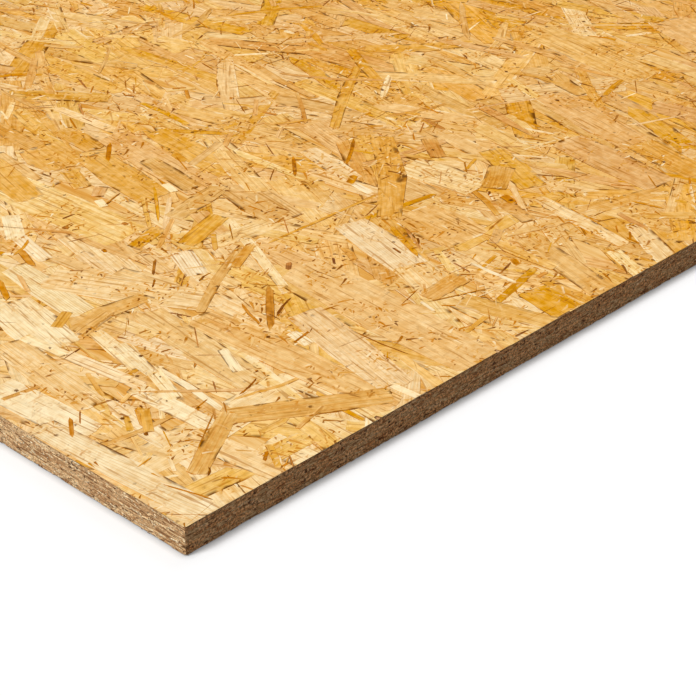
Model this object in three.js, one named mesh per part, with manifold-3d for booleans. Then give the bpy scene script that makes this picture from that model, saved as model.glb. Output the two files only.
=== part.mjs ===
// Square-edged OSB panel: one pressed and sawn sheet of wood strands, lying flat.
// Millimetres, +Z up. The origin is the centre of the underside, +X runs along
// the sheet's length (its strong axis, along which most face strands lie) and
// +Y runs across its width.
import * as THREE from "three";
import { mergeVertices, toCreasedNormals } from "three/addons/utils/BufferGeometryUtils.js";
import Module from "manifold-3d";

// Driving dimensions of the sheet.
const LENGTH = 2500; // along the strong axis
const WIDTH = 1250;
const THICKNESS = 18;

// What sawing, stacking and handling leave of the sharp edges.
const ARRIS_RADIUS = 0.5; // worn round on every edge between a face and a side
const CORNER_RADIUS = 1.2; // worn round on the four upright corners
const ARRIS_STEPS = 3; // flats along the quarter round of an arris
const CORNER_STEPS = 4; // flats along the quarter round of a corner

// Tear-outs: shallow scoops where the saw pulled a strand's corner off an
// arris. A scoop is long along the strands and narrow across them, so on the
// long sides it follows the arris, and on the ends it runs in from it.
const ALONG_GRAIN = [5, 16]; // shortest and longest scoop on a long side
const ACROSS_GRAIN = [2, 5]; // narrowest and widest scoop on an end
const REACH_ON_LONG_SIDE = [0.8, 1.8]; // from the arris onto the face
const REACH_ON_END = [1.5, 4.5];
const TEAR_DEPTH = [0.5, 1.1]; // from the face down the side
const TEAR_SPACING = [70, 230]; // bare arris between two scoops
const TEAR_FACETS = 8; // flats round a scoop
const TEAR_RINGS = 4; // flats from one tip of a scoop to the other
const TEAR_SEED = 1801; // fixes where the scoops fall

const BOARD_COLOUR = 0xdcae6c; // softwood strands under clear resin
const BOARD_ROUGHNESS = 0.62;

const CREASE_ANGLE = Math.PI / 9; // sharper folds than this show as edges

// A repeatable stream of numbers from 0 up to 1.
function seededRandom(seed) {
  let state = seed;
  return () => {
    state = (Math.imul(state, 1664525) + 1013904223) >>> 0;
    return state / 2 ** 32;
  };
}

// The sheet's outline seen from above, drawn anticlockwise about the origin:
// straight sawn sides joined by quarter rounds at the corners.
function sheetOutline() {
  const outline = new THREE.Shape();
  const corners = [
    { side: 1, end: 1, startAngle: 0 },
    { side: 1, end: -1, startAngle: Math.PI / 2 },
    { side: -1, end: -1, startAngle: Math.PI },
    { side: -1, end: 1, startAngle: (3 * Math.PI) / 2 },
  ];
  for (const { side, end, startAngle } of corners) {
    const centreX = end * (LENGTH / 2 - CORNER_RADIUS);
    const centreY = side * (WIDTH / 2 - CORNER_RADIUS);
    // absarc also draws the straight side that leads up to this corner.
    outline.absarc(centreX, centreY, CORNER_RADIUS, startAngle, startAngle + Math.PI / 2, false);
  }
  return outline;
}

// The sheet before any tear-out: its outline pulled up to the full thickness,
// with both rims rounded inwards, so the sides stay flush with the outline.
function blankGeometry() {
  const geometry = new THREE.ExtrudeGeometry(sheetOutline(), {
    depth: THICKNESS - 2 * ARRIS_RADIUS,
    curveSegments: CORNER_STEPS,
    bevelEnabled: true,
    bevelThickness: ARRIS_RADIUS,
    bevelSize: ARRIS_RADIUS,
    bevelOffset: -ARRIS_RADIUS,
    bevelSegments: ARRIS_STEPS,
  });
  // The extrusion starts one arris radius below its own zero.
  geometry.translate(0, 0, ARRIS_RADIUS);
  return geometry;
}

// One scoop's tool: a faceted spindle with its tips along the arris, centred
// on the arris, so a quarter of it bites into the sheet.
function tearGeometry({ alongX, centre, run, reach, depth, turn }) {
  const geometry = new THREE.SphereGeometry(1, TEAR_FACETS, TEAR_RINGS);
  geometry.rotateY(turn);
  if (alongX) {
    geometry.rotateZ(Math.PI / 2);
    geometry.scale(run / 2, reach, depth);
  } else {
    geometry.scale(reach, run / 2, depth);
  }
  geometry.translate(centre.x, centre.y, centre.z);
  return geometry;
}

// Every scoop on one arris, from one corner to the next.
function tearsAlongArris({ alongX, offset, level }, random) {
  const between = ([low, high]) => low + (high - low) * random();
  const arrisLength = alongX ? LENGTH : WIDTH;
  const tears = [];
  let along = between(TEAR_SPACING);
  while (true) {
    const run = between(alongX ? ALONG_GRAIN : ACROSS_GRAIN);
    if (along + run > arrisLength - TEAR_SPACING[0]) {
      return tears;
    }
    const middle = along + run / 2 - arrisLength / 2;
    tears.push({
      alongX,
      centre: new THREE.Vector3(alongX ? middle : offset, alongX ? offset : middle, level),
      run,
      reach: between(alongX ? REACH_ON_LONG_SIDE : REACH_ON_END),
      depth: between(TEAR_DEPTH),
      turn: between([0.1, 0.6]), // keeps a scoop's flats off the faces' planes
    });
    along += run + between(TEAR_SPACING);
  }
}

// The scoops of all eight arrises: four sides, each with an upper and a lower.
function allTears() {
  const random = seededRandom(TEAR_SEED);
  const tears = [];
  for (const level of [0, THICKNESS]) {
    for (const side of [-1, 1]) {
      tears.push(...tearsAlongArris({ alongX: true, offset: (side * WIDTH) / 2, level }, random));
      tears.push(...tearsAlongArris({ alongX: false, offset: (side * LENGTH) / 2, level }, random));
    }
  }
  return tears;
}

// A closed geometry as a solid that can be cut.
function toSolid(wasm, geometry) {
  const bare = geometry.clone();
  bare.deleteAttribute("normal");
  bare.deleteAttribute("uv");
  const merged = mergeVertices(bare);
  return new wasm.Manifold(
    new wasm.Mesh({
      numProp: 3,
      vertProperties: merged.attributes.position.array,
      triVerts: Uint32Array.from(merged.index.array),
    }),
  );
}

// A cut solid as a geometry again, flat where it is flat and soft where round.
function toGeometry(solid) {
  const mesh = solid.getMesh();
  const geometry = new THREE.BufferGeometry();
  geometry.setAttribute("position", new THREE.BufferAttribute(mesh.vertProperties, 3));
  geometry.setIndex(new THREE.BufferAttribute(mesh.triVerts, 1));
  return toCreasedNormals(geometry, CREASE_ANGLE);
}

function sheetGeometry(wasm) {
  let sheet = toSolid(wasm, blankGeometry());
  for (const tear of allTears()) {
    sheet = sheet.subtract(toSolid(wasm, tearGeometry(tear)));
  }
  return toGeometry(sheet);
}

function boardMaterial() {
  return new THREE.MeshStandardMaterial({
    color: BOARD_COLOUR,
    roughness: BOARD_ROUGHNESS,
    metalness: 0,
  });
}

const wasm = await Module();
wasm.setup();

const osbPanel = new THREE.Mesh(sheetGeometry(wasm), boardMaterial());
osbPanel.name = "osb_panel";

const part = new THREE.Group();
part.add(osbPanel);

export default part;
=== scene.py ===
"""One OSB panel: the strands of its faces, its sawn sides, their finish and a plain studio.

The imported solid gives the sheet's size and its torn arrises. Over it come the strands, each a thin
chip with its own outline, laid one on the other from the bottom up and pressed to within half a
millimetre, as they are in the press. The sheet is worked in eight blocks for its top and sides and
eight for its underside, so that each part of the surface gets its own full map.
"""

import math
from dataclasses import dataclass
from itertools import chain

import bpy
import numpy as np
from mathutils import Matrix, Vector


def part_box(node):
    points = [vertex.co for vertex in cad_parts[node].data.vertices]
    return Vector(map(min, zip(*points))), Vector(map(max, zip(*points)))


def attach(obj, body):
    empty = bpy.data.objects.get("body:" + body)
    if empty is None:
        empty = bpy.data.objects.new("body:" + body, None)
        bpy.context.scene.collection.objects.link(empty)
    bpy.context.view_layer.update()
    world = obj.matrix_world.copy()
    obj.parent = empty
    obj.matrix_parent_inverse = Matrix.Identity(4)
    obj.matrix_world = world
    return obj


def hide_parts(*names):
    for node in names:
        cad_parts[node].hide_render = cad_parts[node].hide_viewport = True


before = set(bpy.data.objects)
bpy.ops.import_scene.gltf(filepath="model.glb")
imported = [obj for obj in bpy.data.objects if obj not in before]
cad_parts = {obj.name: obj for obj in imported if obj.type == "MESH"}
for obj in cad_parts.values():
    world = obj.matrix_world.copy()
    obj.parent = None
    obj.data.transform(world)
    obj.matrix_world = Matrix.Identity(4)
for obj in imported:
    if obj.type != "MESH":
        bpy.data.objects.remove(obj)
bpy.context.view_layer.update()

bl_info = {
    "name": "OSB Panel",
    "version": (1, 0, 0),
    "blender": (4, 5, 0),
    "location": "3D View > Sidebar > OSB Panel",
    "description": "Lays strands, sawn sides and a studio round the packed solid of an OSB panel",
    "category": "Object",
}

NODE = "osb_panel"
BODY = "root"
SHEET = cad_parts[NODE]
LOW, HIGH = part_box(NODE)
LENGTH, WIDTH, THICKNESS = HIGH - LOW

MM = 0.001
BLOCKS_ALONG = 4
BLOCKS_ACROSS = 2
SEED = 1801

GRAIN_MAP = "Grain"  # a strand's own map: metres along and across it, from its middle
BAKE_MAP = "OFBake"  # the plan view of a block, as one map for it
STRAND = "strand"  # a strand's tone, chance number, half length and half width
FACE_FINISH, SIDE_FINISH, BODY_FINISH = "pressed strands", "sawn strands", "sheet under its strands"
FACE_SLOT, SIDE_SLOT, BODY_SLOT = range(3)


def srgb(red, green, blue):
    """A colour read as 0 to 255 on a screen, as the linear numbers that Blender works in."""
    shares = (channel / 255 for channel in (red, green, blue))
    return tuple(s / 12.92 if s <= 0.04045 else ((s + 0.055) / 1.055) ** 2.4 for s in shares)


# ---- Settings that a user would change ----


def metres(name, description, default):
    return bpy.props.FloatProperty(
        name=name, description=description, default=default, min=0.0, unit="LENGTH", precision=5
    )


def share(name, description, default):
    return bpy.props.FloatProperty(
        name=name, description=description, default=default, min=0.0, subtype="FACTOR"
    )


def angle(name, description, degrees):
    return bpy.props.FloatProperty(
        name=name, description=description, default=math.radians(degrees), subtype="ANGLE", unit="ROTATION"
    )


def colour(name, description, default):
    return bpy.props.FloatVectorProperty(
        name=name, description=description, default=default, size=3, min=0, max=1, subtype="COLOR"
    )


class OSB_PG_sheet(bpy.types.PropertyGroup):
    """How the strands lie in the sheet."""

    face_relief: metres("Face relief", "From the highest strand of a face to the lowest", 0.45 * MM)
    side_relief: metres("Side relief", "From the proudest flake of a sawn side to the lowest", 0.3 * MM)
    rim: metres("Rim", "Width of the slope round a strand", 0.28 * MM)
    density: share("Strands", "How many strands are laid, against the usual number", 1.0)
    arris: metres("Arris", "Wear on the sheet's arrises, as the solid has it", 0.5 * MM)
    corner_cut: metres("Corner cut", "How much the upright corners are worn off", 0.7 * MM)


class OSB_PG_colours(bpy.types.PropertyGroup):
    """The wood's colours, from the palest strand to the darkest."""

    # cream also paints the highlight on a strand's lit edge
    cream: colour("Cream", "Sapwood, the palest strands", srgb(254, 231, 184))
    honey: colour("Honey", "The common strands", srgb(243, 200, 132))
    golden: colour("Golden", "Strands that took more resin", srgb(226, 166, 78))
    orange: colour("Orange", "Small resinous flakes", srgb(205, 126, 12))
    bark: colour("Bark", "Bark and scorched slivers", srgb(122, 62, 0))
    sawn_pale: colour("Sawn, pale", "The palest flecks of a sawn side", srgb(255, 240, 204))
    sawn: colour("Sawn", "The common colour of a sawn side", srgb(255, 216, 162))
    sawn_dark: colour("Sawn, dark", "Late wood and glue on a sawn side", srgb(190, 138, 90))
    # pore also paints the gap and the shadow beside a flake on a sawn side
    pore: colour("Pore", "The dark of the gaps in a sawn side", srgb(76, 44, 22))
    end_grain: colour("End grain", "What the ends soak up, over the sawn colours", srgb(237, 206, 184))


class OSB_PG_studio(bpy.types.PropertyGroup):
    """The lamps, the floor and the camera."""

    key_strength: share("Key", "The key lamp's share of the light on a face that looks up", 0.68)
    fill_strength: share("Fill", "The share of the lamp behind the sheet", 0.10)
    sky_strength: share("Sky", "The share of the even light from all round", 0.24)
    key_size: angle("Key size", "How wide the key lamp looks, and half of how wide the fill does", 18)
    azimuth: angle("Azimuth", "Where the camera stands, from the front towards the right end", 44.19)
    elevation: angle("Elevation", "How far the camera looks down", 30.57)
    distance: metres("Distance", "From the camera to the near corner, along its view", 1.033)
    lens: bpy.props.FloatProperty(
        name="Lens", description="Focal length for a 36 mm wide picture", default=110.2, min=1.0,
        unit="CAMERA",
    )


# ---- The faces of the sheet ----


@dataclass
class Face:
    """One flat face of the sheet, with axes s and t in it and n out of it, so that s x t = n."""

    name: str
    s: Vector
    t: Vector
    n: Vector
    relief: float
    notches: np.ndarray = None

    def __post_init__(self):
        size = Vector((LENGTH, WIDTH, THICKNESS))
        middle = Vector((0, 0, THICKNESS / 2))
        self.half_s, self.half_t, half_n = (
            sum(abs(a) * b for a, b in zip(axis, size)) / 2 for axis in (self.s, self.t, self.n)
        )
        self.origin = middle + self.n * half_n

    def place(self, st, height):
        """Points of the face, given along s and t and out of it, as points in the sheet's frame."""
        axes = np.array([self.s, self.t, self.n])
        return np.array(self.origin) + np.column_stack([st, height]) @ axes

    def read(self, points):
        """The opposite: points in the sheet's frame as distances along s, t and n."""
        axes = np.array([self.s, self.t, self.n])
        return (points - np.array(self.origin)) @ axes.T


X, Y, Z = Vector((1, 0, 0)), Vector((0, 1, 0)), Vector((0, 0, 1))


def sheet_faces(settings):
    """The six faces, with the notches that the solid's torn arrises leave in their borders."""
    wide, thin = settings.face_relief, settings.side_relief
    faces = [
        Face("top", X, Y, Z, wide),
        Face("underside", X, -Y, -Z, wide),
        Face("front", X, Z, -Y, thin),
        Face("back", -X, Z, Y, thin),
        Face("right", Y, Z, X, thin),
        Face("left", -Y, Z, -X, thin),
    ]
    solid = np.array([v.co for v in SHEET.data.vertices])
    for face in faces:
        face.notches = np.array(find_notches(face, solid, settings.arris)).reshape(-1, 4, 2)
    return faces


NOTCH_GAP = 15 * MM  # points further apart than this belong to different tear-outs


def find_notches(face, solid, arris):
    """Each tear-out as a four-sided patch on the face, from the border inwards.

    The plain solid has no point on a flat face that is further in than its worn arris, so the
    points that are belong to tear-outs.
    """
    flush, slack = 1e-5, 0.02 * MM
    places = face.read(solid)
    on_face = places[np.abs(places[:, 2]) < flush][:, :2]
    notches = []
    for axis, half in ((0, face.half_s), (1, face.half_t)):
        for side in (-1, 1):
            inwards = half - side * on_face[:, axis]
            torn = (inwards > arris + slack) & (inwards < half / 2)
            # a point that is nearer to the border round the corner belongs to that one
            torn &= inwards < (face.half_t, face.half_s)[axis] - np.abs(on_face[:, 1 - axis])
            if not torn.any():
                continue
            order = np.argsort(on_face[torn, 1 - axis])
            along = on_face[torn, 1 - axis][order]
            deep = inwards[torn][order]
            starts = np.flatnonzero(np.diff(along) > NOTCH_GAP) + 1
            for stretch, depths in zip(np.split(along, starts), np.split(deep, starts)):
                notches.append(notch_corners(axis, side, half, stretch, depths.max()))
    return notches


FLARE_SHARE, FLARE = 0.2, 0.3 * MM  # how much wider a notch is at the border than where it ends
CLEAR = 1 * MM  # what lies further than this past a border, or short of it, is clear of it


def notch_corners(axis, side, half, along, reach):
    """The corners of one notch, anticlockwise as seen from outside the sheet."""
    start, stop = along.min(), along.max()
    flare = FLARE_SHARE * (stop - start) + FLARE
    corners = np.array([
        [start - flare, side * (half + CLEAR)],
        [stop + flare, side * (half + CLEAR)],
        [stop, side * (half - reach)],
        [start, side * (half - reach)],
    ])
    if axis == 0:
        corners = corners[:, ::-1]
    turn = np.roll(corners, -1, 0) - corners
    area = np.sum(corners[:, 0] * turn[:, 1] - corners[:, 1] * turn[:, 0])
    return corners if area > 0 else corners[::-1]


# ---- Outlines and how they are cut ----


def cut(polygon, point, inwards):
    """The part of a closed polygon on one side of a line. Columns after the first two go along."""
    depth = (polygon[:, :2] - point) @ inwards
    if (depth >= 0).all():
        return polygon
    if (depth <= 0).all():
        return polygon[:0]
    kept = []
    for here, after, d0, d1 in zip(polygon, np.roll(polygon, -1, 0), depth, np.roll(depth, -1)):
        if d0 >= 0:
            kept.append(here)
        if (d0 >= 0) != (d1 >= 0):
            kept.append(here + (after - here) * (d0 / (d0 - d1)))
    return np.array(kept)


def cut_to_face(polygon, face, setback, corner_cut):
    """What is left of an outline inside the face's borders and its worn corners."""
    half = np.array([face.half_s, face.half_t]) - setback
    reach = np.abs(polygon[:, :2])
    if (reach < half - CLEAR).all():
        return polygon
    for axis in (0, 1):
        for side in (-1.0, 1.0):
            inwards = np.zeros(2)
            inwards[axis] = -side
            polygon = cut(polygon, -inwards * half[axis], inwards)
            if len(polygon) < 3:
                return polygon[:0]
    if corner_cut and (np.abs(polygon[:, :2]).sum(1) > half.sum() - corner_cut).any():
        for quarter in ((1, 1), (-1, 1), (-1, -1), (1, -1)):
            corner = np.array(quarter, float)
            polygon = cut(polygon, corner * (half - corner_cut / 2), -corner)
            if len(polygon) < 3:
                return polygon[:0]
    return polygon


def cut_notches(polygon, notches):
    """An outline's parts outside every notch: mostly the outline as it was."""
    parts = [polygon]
    reached = notches.max(1) > polygon[:, :2].min(0)
    reached &= notches.min(1) < polygon[:, :2].max(0)
    for corners in notches[reached.all(1)]:
        left = []
        for rest in parts:
            for start, stop in zip(corners, np.roll(corners, -1, 0)):
                inwards = np.array([start[1] - stop[1], stop[0] - start[0]])
                outside = cut(rest, start, -inwards)
                if len(outside) >= 3:
                    left.append(outside)
                rest = cut(rest, start, inwards)
                if len(rest) < 3:
                    break
        parts = left
    return parts


CUT_REACH, TIP_REACH = 0.93, 0.7  # how far out the long sides go before a cut end and before a tip
SLANT = 0.05  # how far a cut end leans
FRAY = 0.07  # how far back the points of a cut end may lie


def outline(rng, side_points, left_end, right_end, taper, ragged):
    """A strand's outline in shares of its half length and half width, anticlockwise.

    side_points is how many points each long side has. An end of 1 point is a tip, 2 is a clean
    cut and more is splintered. taper narrows the strand towards its ends.
    """
    reach = CUT_REACH if max(left_end, right_end) > 1 else TIP_REACH
    along = np.linspace(-reach, reach, side_points)
    narrowed = 1 - taper * np.abs(along) ** 2
    lower = np.column_stack([along, -narrowed * rng.uniform(1 - ragged, 1, side_points)])
    upper = np.column_stack([along[::-1], narrowed[::-1] * rng.uniform(1 - ragged, 1, side_points)])
    slant = rng.uniform(-SLANT, SLANT)

    def end(points, side, width):
        across = np.linspace(-1, 1, points + 2)[1:-1] * width if points > 1 else rng.uniform(-0.5, 0.5, 1)
        out = 1 - rng.uniform(0, FRAY, points) * (points > 1)
        return np.column_stack([side * (out + side * slant * across), across])

    right = end(right_end, 1, 1 - taper)
    left = end(left_end, -1, 1 - taper)[::-1]
    return np.concatenate([lower, right, upper, left])


# ---- Laying strands on a face ----


@dataclass
class Strand:
    """One strand before it is laid, in metres and radians on its face."""

    middle: np.ndarray
    angle: float
    length: float
    width: float
    tone: float  # from 0 pale to 1 dark
    chance: float  # from 0 to 1: which grain and which shade it has
    shape: np.ndarray  # its outline, in shares of its half length and half width
    bow: float = 0.0  # how far its middle is bent aside

    def spread(self, along, across):
        """Points of the strand, given along and across it, as points on the face."""
        bowed = across + self.bow * (1 - (2 * along / self.length) ** 2)
        c, s = math.cos(self.angle), math.sin(self.angle)
        return self.middle + np.column_stack([along * c - bowed * s, along * s + bowed * c])

    def edge(self):
        """The outline as rows of place on the face, then place along and across the strand."""
        grain = self.shape * (self.length / 2, self.width / 2)
        return np.column_stack([self.spread(grain[:, 0], grain[:, 1]), grain])


@dataclass
class Chip:
    """A piece of a laid strand: its foot and its top, with its height in steps of the stack."""

    strand: Strand
    foot: np.ndarray
    top: np.ndarray
    level: int
    under: int


FEW_SQUARES = 4  # a chip on fewer than these is found by its points instead
RIM_LIMIT = 0.45  # the most that the rim takes off a strand's length or width, as a share of it
BORDER_STRIP = 1.5 * MM  # the points this near a border keep to it
LEAST_SHOWN = 0.04  # a chip of which no larger share shows is left out


class Bed:
    """A face while its strands are laid: the height of the stack on each small square of it."""

    def __init__(self, face, square, settings):
        self.face = face
        self.square = np.array(square)
        self.settings = settings
        self.half = np.array([face.half_s, face.half_t])
        columns, rows = np.ceil(2 * self.half / self.square).astype(int)
        self.levels = np.zeros((rows, columns), np.int16)
        self.owners = np.full((rows, columns), -1, np.int32)
        self.sizes = []
        self.chips = []

    def squares(self, polygon):
        """The squares that lie in an outline, or those of its points if it is narrower than one."""
        last = np.array(self.levels.shape[::-1])
        places = (polygon[:, :2] + self.half) / self.square
        low = np.clip(np.floor(places.min(0)).astype(int), 0, last - 1)
        high = np.clip(np.ceil(places.max(0)).astype(int), low + 1, last)
        x = np.arange(low[0], high[0]) + 0.5
        y = np.arange(low[1], high[1]) + 0.5
        start, step = places[:, None], (np.roll(places, -1, 0) - places)[:, None]
        crossed = (start[..., 1] > y) != ((start + step)[..., 1] > y)
        rise = np.where(step[..., 1] == 0, 1, step[..., 1])
        crossing = np.where(crossed, start[..., 0] + (y - start[..., 1]) * step[..., 0] / rise, -1)
        inside = np.logical_xor.reduce(x < crossing[..., None], axis=0)
        found = np.nonzero(inside)
        if len(found[0]) < FEW_SQUARES:
            nearest = np.clip(places.astype(int), 0, last - 1)
            return nearest[:, 1], nearest[:, 0]
        return found[0] + low[1], found[1] + low[0]

    def lay(self, strand, setback=0.0):
        """Lays one strand on what is there, cut to the face's borders and its torn arrises."""
        corner_cut = self.settings.corner_cut
        edge = cut_to_face(strand.edge(), self.face, setback, corner_cut)
        if len(edge) < 3:
            return
        for part in cut_notches(edge, self.face.notches):
            rows, columns = self.squares(part)
            under = self.levels[rows, columns]
            level = int(under.max()) + 1
            self.levels[rows, columns] = level
            self.owners[rows, columns] = len(self.chips)
            self.sizes.append(len(rows))
            self.chips.append(Chip(strand, part, self.top_of(strand, part), level, int(under.min())))

    def top_of(self, strand, part):
        """A chip's upper outline: its foot drawn in by the rim, and never past the border."""
        rim = self.settings.rim
        shrink = [1 - min(RIM_LIMIT, 2 * rim / size) for size in (strand.length, strand.width)]
        grain = part[:, 2:] * shrink
        inner = part[:, :2] + strand.spread(*grain.T) - strand.spread(*part[:, 2:].T)
        at_border = np.abs(part[:, :2]) > self.half - BORDER_STRIP
        inner = np.where(at_border, np.clip(inner, -np.abs(part[:, :2]), np.abs(part[:, :2])), inner)
        return np.column_stack([inner, grain])

    def shown(self):
        """The chips that aren't all but covered by later ones, with the lowest first."""
        seen = np.bincount(self.owners[self.owners >= 0], minlength=len(self.chips))
        facts = zip(self.chips, seen, self.sizes)
        kept = [chip for chip, visible, size in facts if visible > LEAST_SHOWN * size]
        return sorted(kept, key=lambda chip: chip.level)

    def heights(self):
        """How far below the face's own plane each level of the stack lies. The last touches it."""
        return self.face.relief * np.linspace(-1, 0, self.levels.max() + 1)


@dataclass
class Batch:
    """A kind of strand: how many there are on a square metre, and what they are like."""

    per_m2: float
    length: tuple  # shortest and longest, in millimetres
    width: tuple
    lean: float  # usual angle to the sheet's strong axis, in degrees
    wild: float  # share that lies any way at all
    tone: tuple  # the middle and the spread of their tones, from 0 pale to 1 dark
    points: int  # on each long side
    ends: tuple  # kinds of end to choose from
    taper: float
    ragged: float
    bow: float = 0.0  # in millimetres
    heap: int = 1  # how many lie together
    scatter: float = 0.0  # how far a heap spreads, in millimetres


# the strands that lie under the listed ones, from the lowest, and those that lie over them
UNDER_STRANDS = (
    Batch(620, (90, 150), (22, 44), 14, 0.12, (0.35, 0.05), 2, (1, 2), 0.1, 0.1),
    Batch(560, (70, 130), (12, 30), 20, 0.20, (0.35, 0.075), 3, (1, 2, 3), 0.15, 0.12, 1.5),
    Batch(420, (45, 110), (7, 20), 24, 0.28, (0.37, 0.10), 3, (1, 2, 3), 0.2, 0.15, 2.0),
    Batch(320, (25, 80), (3, 8), 30, 0.35, (0.42, 0.16), 3, (1, 2), 0.3, 0.2, 2.0),
    Batch(900, (8, 30), (2, 6), 40, 0.5, (0.40, 0.24), 2, (1, 2), 0.3, 0.25, 0.6, 12, 16),
    Batch(1400, (5, 22), (0.8, 2.2), 45, 0.5, (0.50, 0.32), 2, (1,), 0.3, 0.2, 0.6, 16, 14),
)
OVER_STRANDS = (
    Batch(400, (5, 20), (0.8, 2.0), 45, 0.5, (0.52, 0.32), 2, (1,), 0.3, 0.2, 0.6, 16, 14),
    Batch(420, (7, 26), (0.7, 1.5), 50, 0.5, (0.82, 0.12), 2, (1,), 0.3, 0.2, 0.5),
    Batch(700, (2, 7), (0.7, 1.8), 60, 0.5, (0.85, 0.15), 1, (1,), 0.0, 0.2, 0.0, 5, 12),
)


def spots(count, half, aspect, rng):
    """Points spread evenly over a face, one in each cell of a grid of long cells, in no order."""
    columns = max(1, round(math.sqrt(count * half[0] / (half[1] * aspect))))
    rows = math.ceil(count / columns)
    cells = rng.permutation(columns * rows)[:count]
    places = np.column_stack([cells % columns, cells // columns]) + rng.uniform(size=(count, 2))
    return (2 * places / (columns, rows) - 1) * half


def heaps(batch, half, density, rng):
    """Where the middles of a batch's strands lie: evenly, or in heaps that lie evenly."""
    count = int(batch.per_m2 * density * 4 * half[0] * half[1])
    if batch.heap == 1:
        return spots(count, half, sum(batch.length) / sum(batch.width), rng)
    middles = np.repeat(spots(count // batch.heap + 1, half, 1.0, rng), batch.heap, axis=0)
    return middles + rng.normal(0, 1, middles.shape) * batch.scatter * MM


def resin(place):
    """How the resin's tone drifts over the sheet, as more or less of it was sprayed on."""
    x, y = place
    return 0.05 + 0.10 * math.sin(x + 5.2 * y + 0.3) + 0.025 * math.sin(2.1 * x - 0.9 * y + 0.5)


PALEST = 0.08  # the palest tone that falls by chance
BROAD_DARKEST, SLIVER_DARKEST = 0.56, 0.96  # only slivers are as dark as bark
DARKEST_DROP = 0.06  # how much less dark a strand may be with each millimetre of width


def batch_strands(batch, face, density, rng, overhang=20 * MM):
    """The strands of one batch, spread over a face and a little past its borders."""
    half = np.array([face.half_s, face.half_t]) + overhang
    for middle in heaps(batch, half, density, rng):
        width = rng.uniform(*batch.width)
        darkest = max(BROAD_DARKEST, SLIVER_DARKEST - DARKEST_DROP * width)
        lean = rng.normal(0, batch.lean)
        if rng.random() < batch.wild:
            lean = rng.uniform(-90, 90)
        ends = rng.choice(batch.ends, 2)
        yield Strand(
            middle=middle,
            angle=math.radians(lean),
            length=rng.uniform(*batch.length) * MM,
            width=width * MM,
            tone=float(np.clip(rng.normal(*batch.tone) + resin(middle), PALEST, darkest)),
            chance=rng.random(),
            shape=outline(rng, batch.points, ends[0], ends[1], batch.taper, batch.ragged),
            bow=rng.normal(0, 1) * batch.bow * MM,
        )


@dataclass
class Laid:
    """A listed strand: its two ends in millimetres from the front right corner of the top."""

    start: tuple
    stop: tuple
    width: float
    tone: float
    ends: tuple = (2, 2)
    bow: float = 0.0
    chance: float = None

    LONG = 40 * MM  # from here on its long sides have a point in the middle
    TAPER, RAGGED = 0.18, 0.2

    def strand(self, rng):
        corner = np.array([LENGTH / 2, -WIDTH / 2])
        ends = corner + np.array([self.start, self.stop]) * MM
        run = ends[1] - ends[0]
        length = float(np.hypot(*run))
        chance = rng.random()
        points = 3 if self.bow or length > self.LONG else 2
        return Strand(
            middle=ends.mean(0),
            angle=math.atan2(run[1], run[0]),
            length=length,
            width=self.width * MM,
            tone=self.tone,
            chance=chance if self.chance is None else self.chance,
            shape=outline(rng, points, *self.ends, self.TAPER, self.RAGGED),
            bow=self.bow * MM,
        )


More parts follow.
